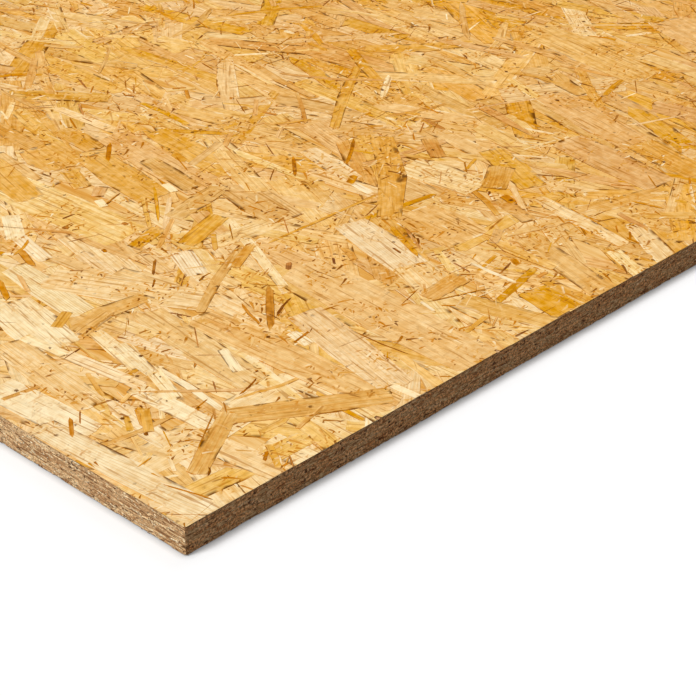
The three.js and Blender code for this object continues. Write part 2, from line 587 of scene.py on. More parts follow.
SHOWN_STRANDS = (
    # broad strands that the rest lie on
    Laid((-372, 268), (-262, 256), 34, 0.49),
    Laid((-356, 293), (-268, 283), 26, 0.46),
    Laid((-402, 252), (-360, 246), 20, 0.46),
    Laid((-358, 238), (-276, 226), 30, 0.51, (3, 2)),
    Laid((-404, 196), (-350, 188), 18, 0.47),
    Laid((-256, 274), (-196, 264), 34, 0.52),
    Laid((-300, 134), (-262, 126), 14, 0.03),
    Laid((-262, 344), (-206, 332), 18, 0.20),
    Laid((-240, 78), (-176, 66), 36, 0.03),
    Laid((-204, 50), (-116, 40), 26, 0.22),
    Laid((-172, 16), (-96, 22), 28, 0.05),
    Laid((-176, 428), (-116, 404), 24, 0.48),
    Laid((-170, 288), (-96, 270), 32, 0.12),
    Laid((-78, 348), (4, 326), 22, 0.52),
    Laid((-176, 126), (-70, 116), 26, 0.33),
    Laid((-150, 145), (0, 152), 30, 0.42),
    Laid((-152, 226), (4, 218), 46, 0.36),
    Laid((-112, 190), (-12, 168), 30, 0.29, chance=0.37),
    Laid((-372, 172), (-248, 180), 42, 0.26),
    Laid((-272, 108), (-196, 100), 24, 0.06),
    Laid((-125, 8), (6, 16), 22, 0.12),
    Laid((-118, 68), (-52, 70), 16, 0.12),
    Laid((-200, 372), (-140, 378), 34, 0.16),
    Laid((-182, 108), (-148, 112), 14, 0.25),
    Laid((-178, 92), (-128, 82), 13, 0.05, (1, 2)),
    Laid((-108, 395), (-26, 382), 13, 0.24),
    Laid((-300, 302), (-236, 278), 20, 0.36),
    Laid((-172, 64), (-112, 72), 12, 0.16),
    Laid((-128, 88), (-90, 76), 12, 0.02),
    Laid((-158, 92), (-118, 84), 11, 0.04),
    Laid((-92, 330), (-38, 331), 11, 0.45),
    Laid((-124, 376), (-88, 366), 15, 0.54),
    Laid((-30, 372), (3, 358), 13, 0.20),
    Laid((-326, 148), (-296, 130), 16, 0.06),
    Laid((-62, 58), (4, 66), 22, 0.28, chance=0.81),
    Laid((-215, 190), (-184, 176), 20, 0.1),
    Laid((-104, 274), (-72, 262), 32, 0.27),
    Laid((-248, 112), (-156, 160), 34, 0.22),
    # golden strands at the far right
    Laid((-96, 622), (8, 600), 42, 0.52, (3, 2)),
    Laid((-206, 524), (-104, 500), 34, 0.47, (2, 3)),
    Laid((-62, 506), (6, 488), 28, 0.49),
    Laid((-230, 690), (-110, 660), 46, 0.50, (3, 3)),
    Laid((-96, 700), (8, 684), 40, 0.53),
    Laid((-290, 610), (-170, 592), 40, 0.46, (2, 3)),
    # golden patches
    Laid((-152, 326), (-98, 322), 44, 0.42, (3, 3)),
    Laid((-392, 222), (-352, 216), 38, 0.50),
    Laid((-246, 232), (-214, 222), 18, 0.55),
    Laid((-232, 240), (-218, 196), 18, 0.60),
    Laid((-262, 270), (-250, 214), 17, 0.52),
    Laid((-34, 300), (2, 294), 30, 0.56, (3, 2)),
    Laid((-246, 202), (-238, 172), 14, 0.50),
    Laid((-216, 412), (-190, 394), 15, 0.62),
    Laid((-152, 414), (-134, 384), 22, 0.52),
    Laid((-150, 474), (-60, 462), 34, 0.53),
    Laid((-112, 504), (-52, 492), 28, 0.52),
    Laid((-186, 141), (-182, 82), 17, 0.50, (1, 2), bow=-6),
    Laid((-206, 96), (-196, 79), 9, 0.52),
    Laid((-96, 345), (-86, 328), 8, 0.50),
    Laid((-350, 214), (-322, 204), 16, 0.46),
    Laid((-398, 186), (-332, 170), 26, 0.49, (3, 2)),
    Laid((-326, 260), (-270, 252), 18, 0.54),
    Laid((-316, 214), (-306, 202), 12, 0.58),
    # the long bowed strand towards the back
    Laid((-242, 394), (-152, 306), 20, 0.53, bow=5),
    # the two golden strands that meet in a bend near the corner
    Laid((-60, 80), (-10, 161), 20, 0.58, chance=0.21),
    Laid((-61, 88), (-30, 34), 13.5, 0.58, chance=0.21),
    # long narrow strands
    Laid((-192, 218), (-150, 146), 8, 0.56, (1, 2), bow=-2),
    Laid((-112, 65), (-62, 118), 3.5, 0.50, (1, 1)),
    Laid((-182, 328), (-184, 233), 3.5, 0.56, (1, 2)),
    Laid((-250, 216), (-226, 182), 4.5, 0.48),
    Laid((-286, 222), (-250, 197), 4, 0.46),
    Laid((-293, 238), (-252, 206), 3, 0.60, (1, 1)),
    Laid((-148, 302), (-106, 284), 5, 0.56, (1, 1)),
    Laid((-138, 306), (-112, 292), 2.5, 0.64, (1, 1)),
    Laid((-76, 268), (-50, 272), 3, 0.1),
    Laid((-48, 322), (-37, 274), 7, 0.60, (1, 2)),
    Laid((-310, 312), (-298, 274), 9, 0.52),
    Laid((-190, 226), (-176, 198), 9, 0.62, (1, 2)),
    Laid((-153, 34), (-157, 10), 5, 0.52),
    Laid((-262, 104), (-238, 94), 4, 0.46, (1, 1)),
    Laid((-196, 176), (-184, 198), 2.2, 0.5, (1, 1)),
    Laid((-24, 80), (-4, 68), 6, 0.55),
    Laid((-80, 300), (-44, 300), 4, 0.05, (2, 1)),
    Laid((-20, 166), (4, 168), 7, 0.05),
    Laid((-30, 126), (-24, 100), 4, 0.5, (1, 2)),
    # the striped strand and its stem
    Laid((-56, 262), (6, 279), 20, 0.44, chance=0.93),
    Laid((-31, 259), (-27, 236), 5, 0.62),
    # the wedge with a dark edge
    Laid((-72, 286), (-70, 250), 19, 0.50),
    Laid((-51, 285), (-66, 247), 1.8, 0.84, (1, 1)),
    # white patches
    Laid((-98, 168), (-80, 166), 10, 0.0, (1, 2)),
    Laid((-112, 129), (-87, 118), 8, 0.0, (1, 2)),
    Laid((-204, 328), (-186, 326), 7, 0.0),
    Laid((-290, 244), (-276, 241), 8, 0.0),
    Laid((-202, 60), (-168, 64), 10, 0.02),
    Laid((-303, 200), (-292, 196), 8, 0.02),
    # orange flakes
    Laid((-147, 199), (-106, 161), 5.8, 0.69, (1, 1)),
    Laid((-142, 172), (-116, 163), 2.4, 0.70, (1, 1), bow=-1.5),
    Laid((-96, 58), (-76, 44), 8, 0.64, (1, 2)),
    Laid((-117, 25), (-101, 13), 3.2, 0.73, (1, 1)),
    Laid((-251, 377), (-226, 344), 3.4, 0.84, (1, 1), bow=1.2),
    Laid((-260, 330), (-237, 309), 3.4, 0.84, (1, 1)),
    Laid((-362, 260), (-340, 239), 4.6, 0.84, (1, 1)),
    Laid((-125, 382), (-112, 378), 8, 0.73, (1, 1)),
    Laid((-212, 338), (-205, 326), 7, 0.73, (1, 1)),
    Laid((-158, 226), (-151, 218), 4.5, 0.86, (1, 1)),
    Laid((-320, 278), (-304, 275), 8, 0.68, (1, 1)),
    Laid((-264, 92), (-240, 80), 5, 0.76, (1, 1)),
    Laid((-286, 124), (-262, 116), 6, 0.72, (1, 1)),
    Laid((-292, 136), (-282, 116), 3, 0.62, (1, 1), bow=2),
    Laid((-66, 322), (-58, 318), 5, 0.74, (1, 1)),
    Laid((-150, 261), (-130, 253), 6, 0.60, (1, 1), bow=2),
    Laid((-20, 75), (-14, 67), 3, 0.8, (1, 1)),
    Laid((-36, 17), (-8, 26), 2, 0.72, (1, 1)),
    # dark slivers
    Laid((-126, 197), (-117, 176), 2.4, 0.94, (1, 1), bow=-1),
    Laid((-91, 176), (-88, 161), 2.7, 0.84),
    Laid((-73, 194), (-33, 197), 1.6, 0.88, (1, 1), bow=-1.5),
    Laid((-76, 121), (-70, 102), 1.9, 0.96, (1, 1), bow=1),
    Laid((-218, 173), (-203, 158), 2.4, 0.90, (1, 1)),
    Laid((-199, 156), (-192, 148), 2.0, 0.96, (1, 1)),
    Laid((-164, 135), (-151, 141), 1.9, 0.92, (1, 1)),
    Laid((-169, 75), (-166, 60), 1.5, 0.90, (1, 1)),
    Laid((-79, 88), (-76, 76), 1.5, 0.86, (1, 1)),
    Laid((-181, 185), (-178, 172), 2.0, 0.94, (1, 1), bow=-1.5),
    Laid((-119, 33), (-108, 24), 1.6, 0.88, (1, 1)),
    Laid((-63, 318), (-58, 301), 1.8, 0.92, (1, 1)),
    Laid((-143, 248), (-136, 242), 2.0, 0.94, (1, 1)),
    Laid((-300, 216), (-294, 198), 2.2, 0.90, (1, 1)),
    Laid((-126, 282), (-117, 280), 2.4, 0.92, (1, 1)),
    Laid((-66, 80), (-46, 50), 1.4, 0.80, (1, 1)),
    Laid((-31, 44), (-25, 38), 1.6, 0.90, (1, 1), bow=1),
    Laid((-58, 30), (-56, 18), 1.6, 0.70, (1, 1)),
    Laid((-78, 43), (-75, 41), 3.0, 0.98, (1, 1)),
    Laid((-37, 399), (-30, 390), 2.2, 0.92, (1, 1)),
    Laid((-34, 391), (-22, 390), 2.7, 0.88, (1, 1)),
    Laid((-250, 159), (-245, 158), 3.4, 0.88, (1, 1)),
    Laid((-268, 190), (-263, 190), 4.7, 0.88, (1, 1)),
    Laid((-290, 161), (-285, 162), 5.4, 0.84, (1, 1)),
)


SAW_WANDER = 0.06  # how far short of the border the saw mostly breaks a strand off, in millimetres
CHIPPED_SHARE, CHIPPED = 0.06, (0.2, 0.9)  # the share that break off further in, and how much further


def setback_of(rng):
    """How far short of the border a strand stops."""
    wander = abs(rng.normal(0, SAW_WANDER)) * MM
    return wander + (rng.random() < CHIPPED_SHARE) * rng.uniform(*CHIPPED) * MM


# the squares that a stack's height is kept for, as their size along a face and across it
FACE_SQUARE, SIDE_SQUARE = (1 * MM, 1 * MM), (1 * MM, 0.25 * MM)


def lay_face(face, settings, seed, by_hand=()):
    """All the strands of the top or the underside."""
    rng = np.random.default_rng(seed)
    bed = Bed(face, FACE_SQUARE, settings)
    # past the lower arris a strand would show from above as a bright ledge
    least = settings.arris + settings.side_relief if face.n.z < 0 else 0.0
    # each strand is drawn only when the one before it lies, so that one run of chances serves all
    under = (batch_strands(batch, face, settings.density, rng) for batch in UNDER_STRANDS)
    shown = (laid.strand(rng) for laid in by_hand)
    over = (batch_strands(batch, face, settings.density, rng) for batch in OVER_STRANDS)
    for strand in chain(*under, shown, *over):
        bed.lay(strand, least + setback_of(rng))
    return bed


SIDE_FLAKES = (
    Batch(36000, (8, 24), (1.0, 2.4), 1.6, 0.0, (0.38, 0.08), 2, (1,), 0.3, 0.2),
    Batch(46000, (3, 11), (0.7, 1.7), 6.0, 0.0, (0.40, 0.24), 2, (1,), 0.3, 0.2),
    Batch(80000, (1.4, 5), (0.6, 1.5), 16.0, 0.06, (0.45, 0.46), 1, (1,), 0.0, 0.2),
)
# how far from its borders each side's flakes stop
SIDE_GAPS = {"front": 0.3 * MM, "back": 0.3 * MM, "right": 0.55 * MM, "left": 0.55 * MM}


def lay_side(face, gap, settings, seed):
    """The flakes of one sawn side: strands cut through, pressed flat in thin layers."""
    rng = np.random.default_rng(seed)
    bed = Bed(face, SIDE_SQUARE, settings)
    for batch in SIDE_FLAKES:
        for strand in batch_strands(batch, face, settings.density, rng, overhang=0.0):
            bed.lay(strand, gap)
    return bed


# ---- From laid strands to meshes ----


def block_of(places):
    """Which block each point of the sheet belongs to, as its column and row."""
    column = np.clip((places[:, 0] / LENGTH + 0.5) * BLOCKS_ALONG, 0, BLOCKS_ALONG - 1)
    row = np.clip((places[:, 1] / WIDTH + 0.5) * BLOCKS_ACROSS, 0, BLOCKS_ACROSS - 1)
    return column.astype(int), row.astype(int)


class ChipMesh:
    """Arrays for one joined mesh of chips, each with a flat top and a sloping rim."""

    def __init__(self):
        self.points, self.corners, self.counts = [], [], []
        self.grain, self.facts, self.slots, self.smooth = [], [], [], []
        self.size = 0

    def add(self, face, chip, top, foot, slot):
        """Adds a chip of a face, from its foot's height to its top's."""
        n = len(chip.foot)
        outline_st = np.concatenate([chip.top[:, :2], chip.foot[:, :2]])
        self.points.append(face.place(outline_st, np.repeat([top, foot], n)))
        ring = np.arange(n)
        after = (ring + 1) % n
        rims = np.column_stack([ring + n, after + n, after, ring])
        corners = np.concatenate([ring, rims.ravel()])
        self.corners.append(corners + self.size)
        self.counts.append(np.concatenate([[n], np.full(n, 4)]))
        grain = np.concatenate([chip.top[:, 2:], chip.foot[:, 2:]])
        self.grain.append(grain[corners])
        strand = chip.strand
        facts = (strand.tone, strand.chance, strand.length / 2, strand.width / 2)
        self.facts.append(np.tile(facts, (n + 1, 1)))
        self.slots.append(np.full(n + 1, slot))
        self.smooth.append(np.arange(n + 1) > 0)
        self.size += 2 * n

    def build(self, name, materials):
        """The mesh as an object."""
        points, corners = np.concatenate(self.points), np.concatenate(self.corners)
        counts = np.concatenate(self.counts)
        mesh = bpy.data.meshes.new(name)
        mesh.vertices.add(len(points))
        mesh.loops.add(len(corners))
        mesh.polygons.add(len(counts))
        mesh.vertices.foreach_set("co", points.astype(np.float32).ravel())
        mesh.loops.foreach_set("vertex_index", corners)
        for fact, values in (
            ("loop_start", np.cumsum(counts) - counts),
            ("loop_total", counts),
            ("material_index", np.concatenate(self.slots)),
            ("use_smooth", np.concatenate(self.smooth)),
        ):
            mesh.polygons.foreach_set(fact, values)
        mesh.update(calc_edges=True)
        grain = mesh.uv_layers.new(name=GRAIN_MAP)
        grain.uv.foreach_set("vector", np.concatenate(self.grain).astype(np.float32).ravel())
        facts = mesh.attributes.new(STRAND, "FLOAT_COLOR", "FACE")
        facts.data.foreach_set("color", np.concatenate(self.facts).astype(np.float32).ravel())
        for material in materials:
            mesh.materials.append(material)
        piece = bpy.data.objects.new(name, mesh)
        bpy.context.scene.collection.objects.link(piece)
        return piece


BURIED = 0.005 * MM  # how far a chip's rim goes into what it lies on


def sort_chips(beds):
    """The chips of several faces, shared out to the blocks they lie in: ((column, row), mesh)."""
    meshes = {}
    for bed, slot in beds:
        chips = bed.shown()
        heights = bed.heights()
        middles = np.array([chip.foot[:, :2].mean(0) for chip in chips])
        columns, rows = block_of(bed.face.place(middles, np.zeros(len(chips))))
        for chip, column, row in zip(chips, columns, rows):
            mesh = meshes.setdefault((int(column), int(row)), ChipMesh())
            mesh.add(bed.face, chip, heights[chip.level], heights[chip.under] - BURIED, slot)
    return sorted(meshes.items())


OVERHANG = 0.08  # how far a block's strands may reach past it
PLAN_TOP = 0.84  # share of the bake map that the plan view fills
BANDS = ((0.86, 0.92), (0.935, 0.995))  # where the long side and the end go on it
MAP_EDGE = 0.005
UPRIGHT = 0.5  # a face whose normal has less than this of up in it stands upright
OUTWARDS = 0.7  # a face whose normal has more than this of out in it looks out of the sheet
SIDE_STRIP = 2 * MM  # what lies this near a side may belong to it


def read_facts(items, fact, kind, width=1):
    """What each of a mesh's items says about itself, as an array with a row for each."""
    values = np.empty(len(items) * width, kind)
    items.foreach_get(fact, values)
    return values.reshape(-1, width) if width > 1 else values


def map_block(piece, column, row):
    """Gives a block its bake map: its plan view, and a band for each sawn side it has."""
    mesh = piece.data
    counts = read_facts(mesh.polygons, "loop_total", np.int32)
    normals = np.repeat(read_facts(mesh.polygons, "normal", np.float32, 3), counts, axis=0)
    slots = np.repeat(read_facts(mesh.polygons, "material_index", np.int32), counts)
    points = read_facts(mesh.vertices, "co", np.float32, 3)
    places = points[read_facts(mesh.loops, "vertex_index", np.int32)]
    size = np.array([LENGTH / BLOCKS_ALONG, WIDTH / BLOCKS_ACROSS])
    low = np.array([-LENGTH / 2, -WIDTH / 2]) + size * (column, row) - OVERHANG
    shares = np.clip((places[:, :2] - low) / (size + 2 * OVERHANG), 0, 1)
    span = 1 - 2 * MAP_EDGE
    uv = np.column_stack([
        MAP_EDGE + span * shares[:, 0],
        MAP_EDGE + (PLAN_TOP - MAP_EDGE) * shares[:, 1],
    ])
    upright = np.abs(normals[:, 2]) < UPRIGHT
    for axis, half, (start, stop) in zip((1, 0), (WIDTH / 2, LENGTH / 2), BANDS):
        side = upright & (np.abs(places[:, axis]) > half - SIDE_STRIP)
        side &= (slots == SIDE_SLOT) | (np.abs(normals[:, axis]) > OUTWARDS)
        rise = np.clip(places[:, 2] / THICKNESS, 0, 1)
        run = np.clip((places[:, 1 - axis] - low[1 - axis] - OVERHANG) / size[1 - axis], 0, 1)
        uv[side, 0] = MAP_EDGE + span * run[side]
        uv[side, 1] = start + (stop - start) * rise[side]
    layer = mesh.uv_layers.get(BAKE_MAP) or mesh.uv_layers.new(name=BAKE_MAP)
    layer.uv.foreach_set("vector", uv.astype(np.float32).ravel())


# ---- The sheet under its strands, in blocks ----


def select_only(piece):
    """Selects one piece, and nothing else."""
    bpy.ops.object.select_all(action="DESELECT")
    piece.select_set(True)
    bpy.context.view_layer.objects.active = piece


BODY_SLACK = 0.03 * MM  # how much further than the lowest strand the sheet under them is drawn in


def sheet_copy(name, settings):
    """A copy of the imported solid, whole and drawn in so far that the strands fill it out again."""
    piece = bpy.data.objects.new(name, SHEET.data.copy())
    piece.data.name = name
    bpy.context.scene.collection.objects.link(piece)
    select_only(piece)
    bpy.ops.object.mode_set(mode="EDIT")
    bpy.ops.mesh.select_all(action="SELECT")
    bpy.ops.mesh.remove_doubles(threshold=1e-6)
    bpy.ops.object.mode_set(mode="OBJECT")
    reliefs = (settings.side_relief, settings.side_relief, settings.face_relief)
    sizes = (LENGTH, WIDTH, THICKNESS)
    scale = [1 - 2 * (relief + BODY_SLACK) / size for relief, size in zip(reliefs, sizes)]
    middle = Matrix.Translation((0, 0, THICKNESS / 2))
    piece.data.transform(middle @ Matrix.Diagonal((*scale, 1)) @ middle.inverted())
    return piece


def cut_off(axis, place, side):
    """Takes off what the mesh in edit mode has on one side of a plane, and closes the cut."""
    point, normal = [0, 0, 0], [0, 0, 0]
    point[axis], normal[axis] = place, side
    bpy.ops.mesh.select_all(action="SELECT")
    bpy.ops.mesh.bisect(
        plane_co=point, plane_no=normal, use_fill=True, clear_inner=False, clear_outer=True
    )


def cut_block(name, column, row, settings):
    """One block of the sheet, closed all round."""
    piece = sheet_copy(name, settings)
    bpy.ops.object.mode_set(mode="EDIT")
    for axis, number, count, size in (
        (0, column, BLOCKS_ALONG, LENGTH),
        (1, row, BLOCKS_ACROSS, WIDTH),
    ):
        for step, side in ((number, -1), (number + 1, 1)):
            if 0 < step < count:
                cut_off(axis, size * (step / count - 0.5), side)
    bpy.ops.object.mode_set(mode="OBJECT")
    return piece


# ---- Shader node groups ----


class Tree:
    """Short words for building a node tree."""

    def __init__(self, graph):
        self.graph = graph

    def give(self, node, name, value):
        """Links a node's input to another node's output, or sets it to a plain value."""
        if isinstance(value, bpy.types.NodeSocket):
            self.graph.links.new(value, node.inputs[name])
        else:
            node.inputs[name].default_value = value

    def node(self, kind, inputs=(), **settings):
        """A node with its settings, and its inputs linked or set by name or number."""
        node = self.graph.nodes.new(kind)
        for name, value in settings.items():
            setattr(node, name, value)
        for name, value in dict(inputs).items():
            self.give(node, name, value)
        return node

    def maths(self, operation, *values, clamp=False):
        node = self.node("ShaderNodeMath", enumerate(values), operation=operation, use_clamp=clamp)
        return node.outputs[0]

    def plus(self, *values, clamp=False):
        return self.maths("ADD", *values, clamp=clamp)

    def minus(self, *values):
        return self.maths("SUBTRACT", *values)

    def times(self, *values):
        return self.maths("MULTIPLY", *values)

    def over(self, *values, clamp=False):
        return self.maths("DIVIDE", *values, clamp=clamp)

    def unsigned(self, value):
        return self.maths("ABSOLUTE", value)

    def vector(self, x=0.0, y=0.0, z=0.0):
        return self.node("ShaderNodeCombineXYZ", {"X": x, "Y": y, "Z": z}).outputs[0]

    def split(self, vector):
        return self.node("ShaderNodeSeparateXYZ", {0: vector}).outputs

    def vectors(self, operation, *values):
        node = self.node("ShaderNodeVectorMath", enumerate(values), operation=operation)
        return node.outputs["Value" if operation == "LENGTH" else "Vector"]

    def scaled(self, vector, factor):
        node = self.node("ShaderNodeVectorMath", {0: vector, "Scale": factor}, operation="SCALE")
        return node.outputs[0]

    def noise(self, vector, detail=0.0, roughness=0.5):
        """Smooth noise from 0 to 1, with one bump to each unit of the vector."""
        inputs = {"Vector": vector, "Scale": 1.0, "Detail": detail, "Roughness": roughness}
        return self.node("ShaderNodeTexNoise", inputs).outputs["Fac"]

    def ramp(self, value, low, high, start=0.0, stop=1.0, smooth=True):
        """value taken from low..high to start..stop, and held there outside."""
        node = self.node(
            "ShaderNodeMapRange",
            {"Value": value, "From Min": low, "From Max": high, "To Min": start, "To Max": stop},
            interpolation_type="SMOOTHSTEP" if smooth else "LINEAR",
        )
        return node.outputs["Result"]

    def between(self, low, high, chance):
        """A number from low to high, as a chance from 0 to 1 has it."""
        return self.ramp(chance, 0, 1, low, high, smooth=False)

    def mix(self, factor, a, b, blend="MIX"):
        """Two colours mixed by a factor."""
        node = self.node("ShaderNodeMix", {0: factor, 6: a, 7: b}, data_type="RGBA", blend_type=blend)
        return node.outputs[2]

    def group(self, name, **inputs):
        inputs = {key.replace("_", " "): value for key, value in inputs.items()}
        return self.node("ShaderNodeGroup", inputs, node_tree=bpy.data.node_groups[name]).outputs


VECTORS = ("Grain", "Place")  # the sockets that hold a place; the rest hold a number


def new_group(name, inputs, outputs):
    """An empty node group with named sockets: its tree, its inputs and its output node."""
    group = bpy.data.node_groups.new(name, "ShaderNodeTree")
    for direction, sockets in (("INPUT", inputs), ("OUTPUT", outputs)):
        for socket in sockets:
            kind = "NodeSocketVector" if socket in VECTORS else "NodeSocketFloat"
            group.interface.new_socket(socket, in_out=direction, socket_type=kind)
    tree = Tree(group)
    return tree, tree.node("NodeGroupInput").outputs, tree.node("NodeGroupOutput")


def group_chances():
    """Four numbers from 0 to 1 that a strand keeps all over, from its one chance number."""
    tree, given, out = new_group("Chances", ("Chance",), "ABCD")
    for number, socket in enumerate("ABCD"):
        # any large factors would do, so long as the four are not alike
        spread = tree.times(given["Chance"], 1543.7 + 977.3 * number)
        noise = tree.node("ShaderNodeTexWhiteNoise", {"W": spread}, noise_dimensions="1D")
        tree.give(out, socket, noise.outputs["Value"])


def grain_noise(tree, along, across, seed, slow, fast, detail=1.0):
    """Noise drawn out along the grain: a bump is 1 / slow metres long and 1 / fast metres wide."""
    place = tree.vector(tree.times(along, slow), tree.times(across, fast), seed)
    return tree.noise(place, detail)


def group_rings():
    """Growth rings where a knife sliced along the log: straight lines, or arches near the pith."""
    inputs = ("Grain", "Chance", "Spacing", "Stretch", "Wander")
    tree, given, out = new_group("Growth rings", inputs, ("Late wood",))
    along, across, _ = tree.split(given["Grain"])
    chances = tree.group("Chances", Chance=given["Chance"])
    seed = tree.times(given["Chance"], 57.0)
    bends = grain_noise(tree, along, across, seed, slow=14.0, fast=45.0)
    drift = tree.times(tree.minus(bends, 0.5), given["Wander"])
    pith_across = tree.between(-60 * MM, 60 * MM, chances["A"])
    pith_along = tree.between(-50 * MM, 50 * MM, chances["B"])
    far = tree.over(tree.minus(along, pith_along), given["Stretch"])
    wide = tree.minus(across, pith_across)
    radius = tree.vectors("LENGTH", tree.vector(far, wide))
    spacing = tree.times(given["Spacing"], tree.ramp(chances["C"], 0, 1, 0.5, 1.6))
    turns = tree.over(tree.plus(radius, drift), spacing)
    phase = tree.maths("FRACT", turns)
    rise = tree.ramp(phase, 0.55, 0.92)
    fall = tree.ramp(phase, 0.93, 1.0, 1.0, 0.0)
    tree.give(out, "Late wood", tree.times(rise, fall))


def group_fibre():
    """The fine run of the wood: hair-thin fibres, broader streaks and short dark resin lines."""
    inputs, outputs = ("Grain", "Chance", "Length"), ("Fibre", "Streak", "Resin line")
    tree, given, out = new_group("Wood fibre", inputs, outputs)
    along, across, _ = tree.split(given["Grain"])
    along = tree.over(along, given["Length"])
    for socket, slow, fast, turn, detail in (
        ("Fibre", 5.0, 1900.0, 31.0, 2.0),
        ("Streak", 2.0, 360.0, 17.0, 2.0),
        ("Resin line", 3.4, 620.0, 71.0, 0.0),
    ):
        seed = tree.times(given["Chance"], turn)
        value = grain_noise(tree, along, across, seed, slow, fast, detail)
        if socket == "Resin line":
            value = tree.ramp(value, 0.66, 0.76)
        tree.give(out, socket, value)


def group_rim():
    """A strand's edges: dark in the gap where it parts from the next and as painted shadow on its shaded
    side, a painted highlight on its lit side, and frayed at its ends.
    """
    inputs = ("Grain", "Chance", "Tone", "Half length", "Half width", "Line")
    tree, given, out = new_group("Strand rim", inputs, ("Gap and shadow", "Painted highlight", "Frayed", "Ragged"))
    along, across, _ = tree.split(given["Grain"])
    chances = tree.group("Chances", Chance=given["Chance"])
    from_side = tree.minus(given["Half width"], tree.unsigned(across))
    from_end = tree.minus(given["Half length"], tree.unsigned(along))
    seed = tree.times(given["Chance"], 23.0)
    ragged = grain_noise(tree, along, across, seed, slow=90.0, fast=160.0)
    tree.give(out, "Ragged", ragged)
    narrow = tree.times(given["Half width"], 0.28)
    line = tree.maths("MINIMUM", given["Line"], narrow)
    line = tree.times(line, tree.ramp(ragged, 0.35, 0.68, 0.25, 1.9))
    near = tree.maths("MINIMUM", from_side, from_end)
    edge = tree.ramp(tree.over(near, line), 0.3, 1.0, 1.0, 0.0)
    # one side of each strand, picked by its chance, gets painted shadow along its edge and the other a
    # painted highlight; golden strands get the dark gap on both sides
    lit_side = tree.maths("SIGN", tree.minus(chances["D"], 0.5))
    shaded = tree.ramp(tree.times(across, lit_side), -0.5 * MM, 0.5 * MM)
    golden = tree.ramp(given["Tone"], 0.42, 0.54)
    dark = tree.times(edge, tree.maths("MAXIMUM", shaded, golden))
    tree.give(out, "Gap and shadow", dark)
    tree.give(out, "Painted highlight", tree.minus(edge, dark))
    splinters = tree.minus(grain_noise(tree, along, across, seed, slow=20.0, fast=900.0), 0.5)
    reach = tree.maths("MINIMUM", 10 * MM, tree.times(given["Half length"], 0.35))
    end = tree.plus(tree.over(from_end, reach), tree.times(splinters, 1.6))
    broad = tree.ramp(given["Half width"], 1 * MM, 3 * MM)
    frayed = tree.times(broad, tree.ramp(end, 0.0, 0.9, 1.0, 0.0))
    tree.give(out, "Frayed", frayed)


SPECK_PULL = 2.2 * MM  # how far a speck's outline is torn out of round


def group_specks():
    """Small dark specks of bark and resin, here and there, with ragged outlines."""
    tree, given, out = new_group("Specks", ("Place", "Spacing", "Size"), ("Speck",))
    torn = tree.node("ShaderNodeTexNoise", {"Vector": given["Place"], "Scale": 900.0, "Detail": 1.0})
    pull = tree.scaled(tree.vectors("SUBTRACT", torn.outputs["Color"], (0.5,) * 3), SPECK_PULL)
    place = tree.vectors("ADD", given["Place"], pull)
    scaled = tree.scaled(place, tree.over(1.0, given["Spacing"]))
    cells = tree.node("ShaderNodeTexVoronoi", {"Vector": scaled, "Scale": 1.0}, feature="F1")
    chances = tree.split(cells.outputs["Color"])
    size = tree.times(given["Size"], tree.between(0.3, 1, chances[0]))
    size = tree.over(size, given["Spacing"])
    spot = tree.minus(1.0, tree.over(cells.outputs["Distance"], size, clamp=True))
    chosen = tree.ramp(chances[1], 0.68, 0.7)  # three cells in ten hold a speck
    tree.give(out, "Speck", tree.times(tree.ramp(spot, 0.0, 0.45), chosen))


def group_slivers():
    """Short splinters that lie any way on the surface, one to each cell of a scatter."""
    inputs = ("Place", "Spacing", "Length", "Width", "Lean")
    tree, given, out = new_group("Slivers", inputs, ("Sliver", "Chance"))
    scaled = tree.scaled(given["Place"], tree.over(1.0, given["Spacing"]))
    cells = tree.node(
        "ShaderNodeTexVoronoi", {"Vector": scaled, "Scale": 1.0}, feature="F1", voronoi_dimensions="2D"
    )
    offset = tree.vectors("SUBTRACT", scaled, cells.outputs["Position"])
    chances = tree.split(cells.outputs["Color"])
    turn = tree.times(tree.minus(chances[0], 0.5), given["Lean"])
    turned = tree.node(
        "ShaderNodeVectorRotate", {"Vector": offset, "Angle": turn}, rotation_type="Z_AXIS"
    )
    along, across, _ = tree.split(turned.outputs[0])
    along = tree.times(along, given["Spacing"])
    across = tree.times(across, given["Spacing"])
    long = tree.times(given["Length"], tree.between(0.22, 1, chances[1]))
    share_along = tree.over(along, tree.times(long, 0.5))
    squared = tree.times(share_along, share_along)
    bowed = tree.times(squared, tree.times(given["Width"], 0.3))
    across = tree.plus(across, bowed)
    pointed = tree.ramp(share_along, -0.3, 1.0, 0.5, 0.0, smooth=False)
    blunt = tree.ramp(share_along, -1.0, -0.93)
    half_width = tree.times(given["Width"], tree.times(pointed, blunt))
    inside = tree.minus(half_width, tree.unsigned(across))
    soft = tree.times(given["Width"], 0.12)
    mask = tree.over(inside, soft, clamp=True)
    tree.give(out, "Sliver", mask)
    tree.give(out, "Chance", chances[2])


def group_cloud():
    """Broad, faint drifts of colour over the sheet, as resin and pressing leave them."""
    drifts = {"Broad": (5.0, 2.0), "Stain": (13.0, 4.0), "Patch": (38.0, 3.0), "Mottle": (210.0, 3.0)}
    tree, given, out = new_group("Cloud", ("Place",), drifts)
    for socket, (scale, detail) in drifts.items():
        tree.give(out, socket, tree.noise(tree.scaled(given["Place"], scale), detail))


GROUPS = (
    group_chances, group_rings, group_fibre, group_rim, group_specks, group_slivers, group_cloud
)


# ---- Materials ----


def new_material(name):
    """An empty material: its tree, its Principled shader and itself."""
    material = bpy.data.materials.new(name)
    material.use_nodes = True
    shader = material.node_tree.nodes["Principled BSDF"]
    return Tree(material.node_tree), shader, material


def opaque(colour):
    return (*colour, 1)


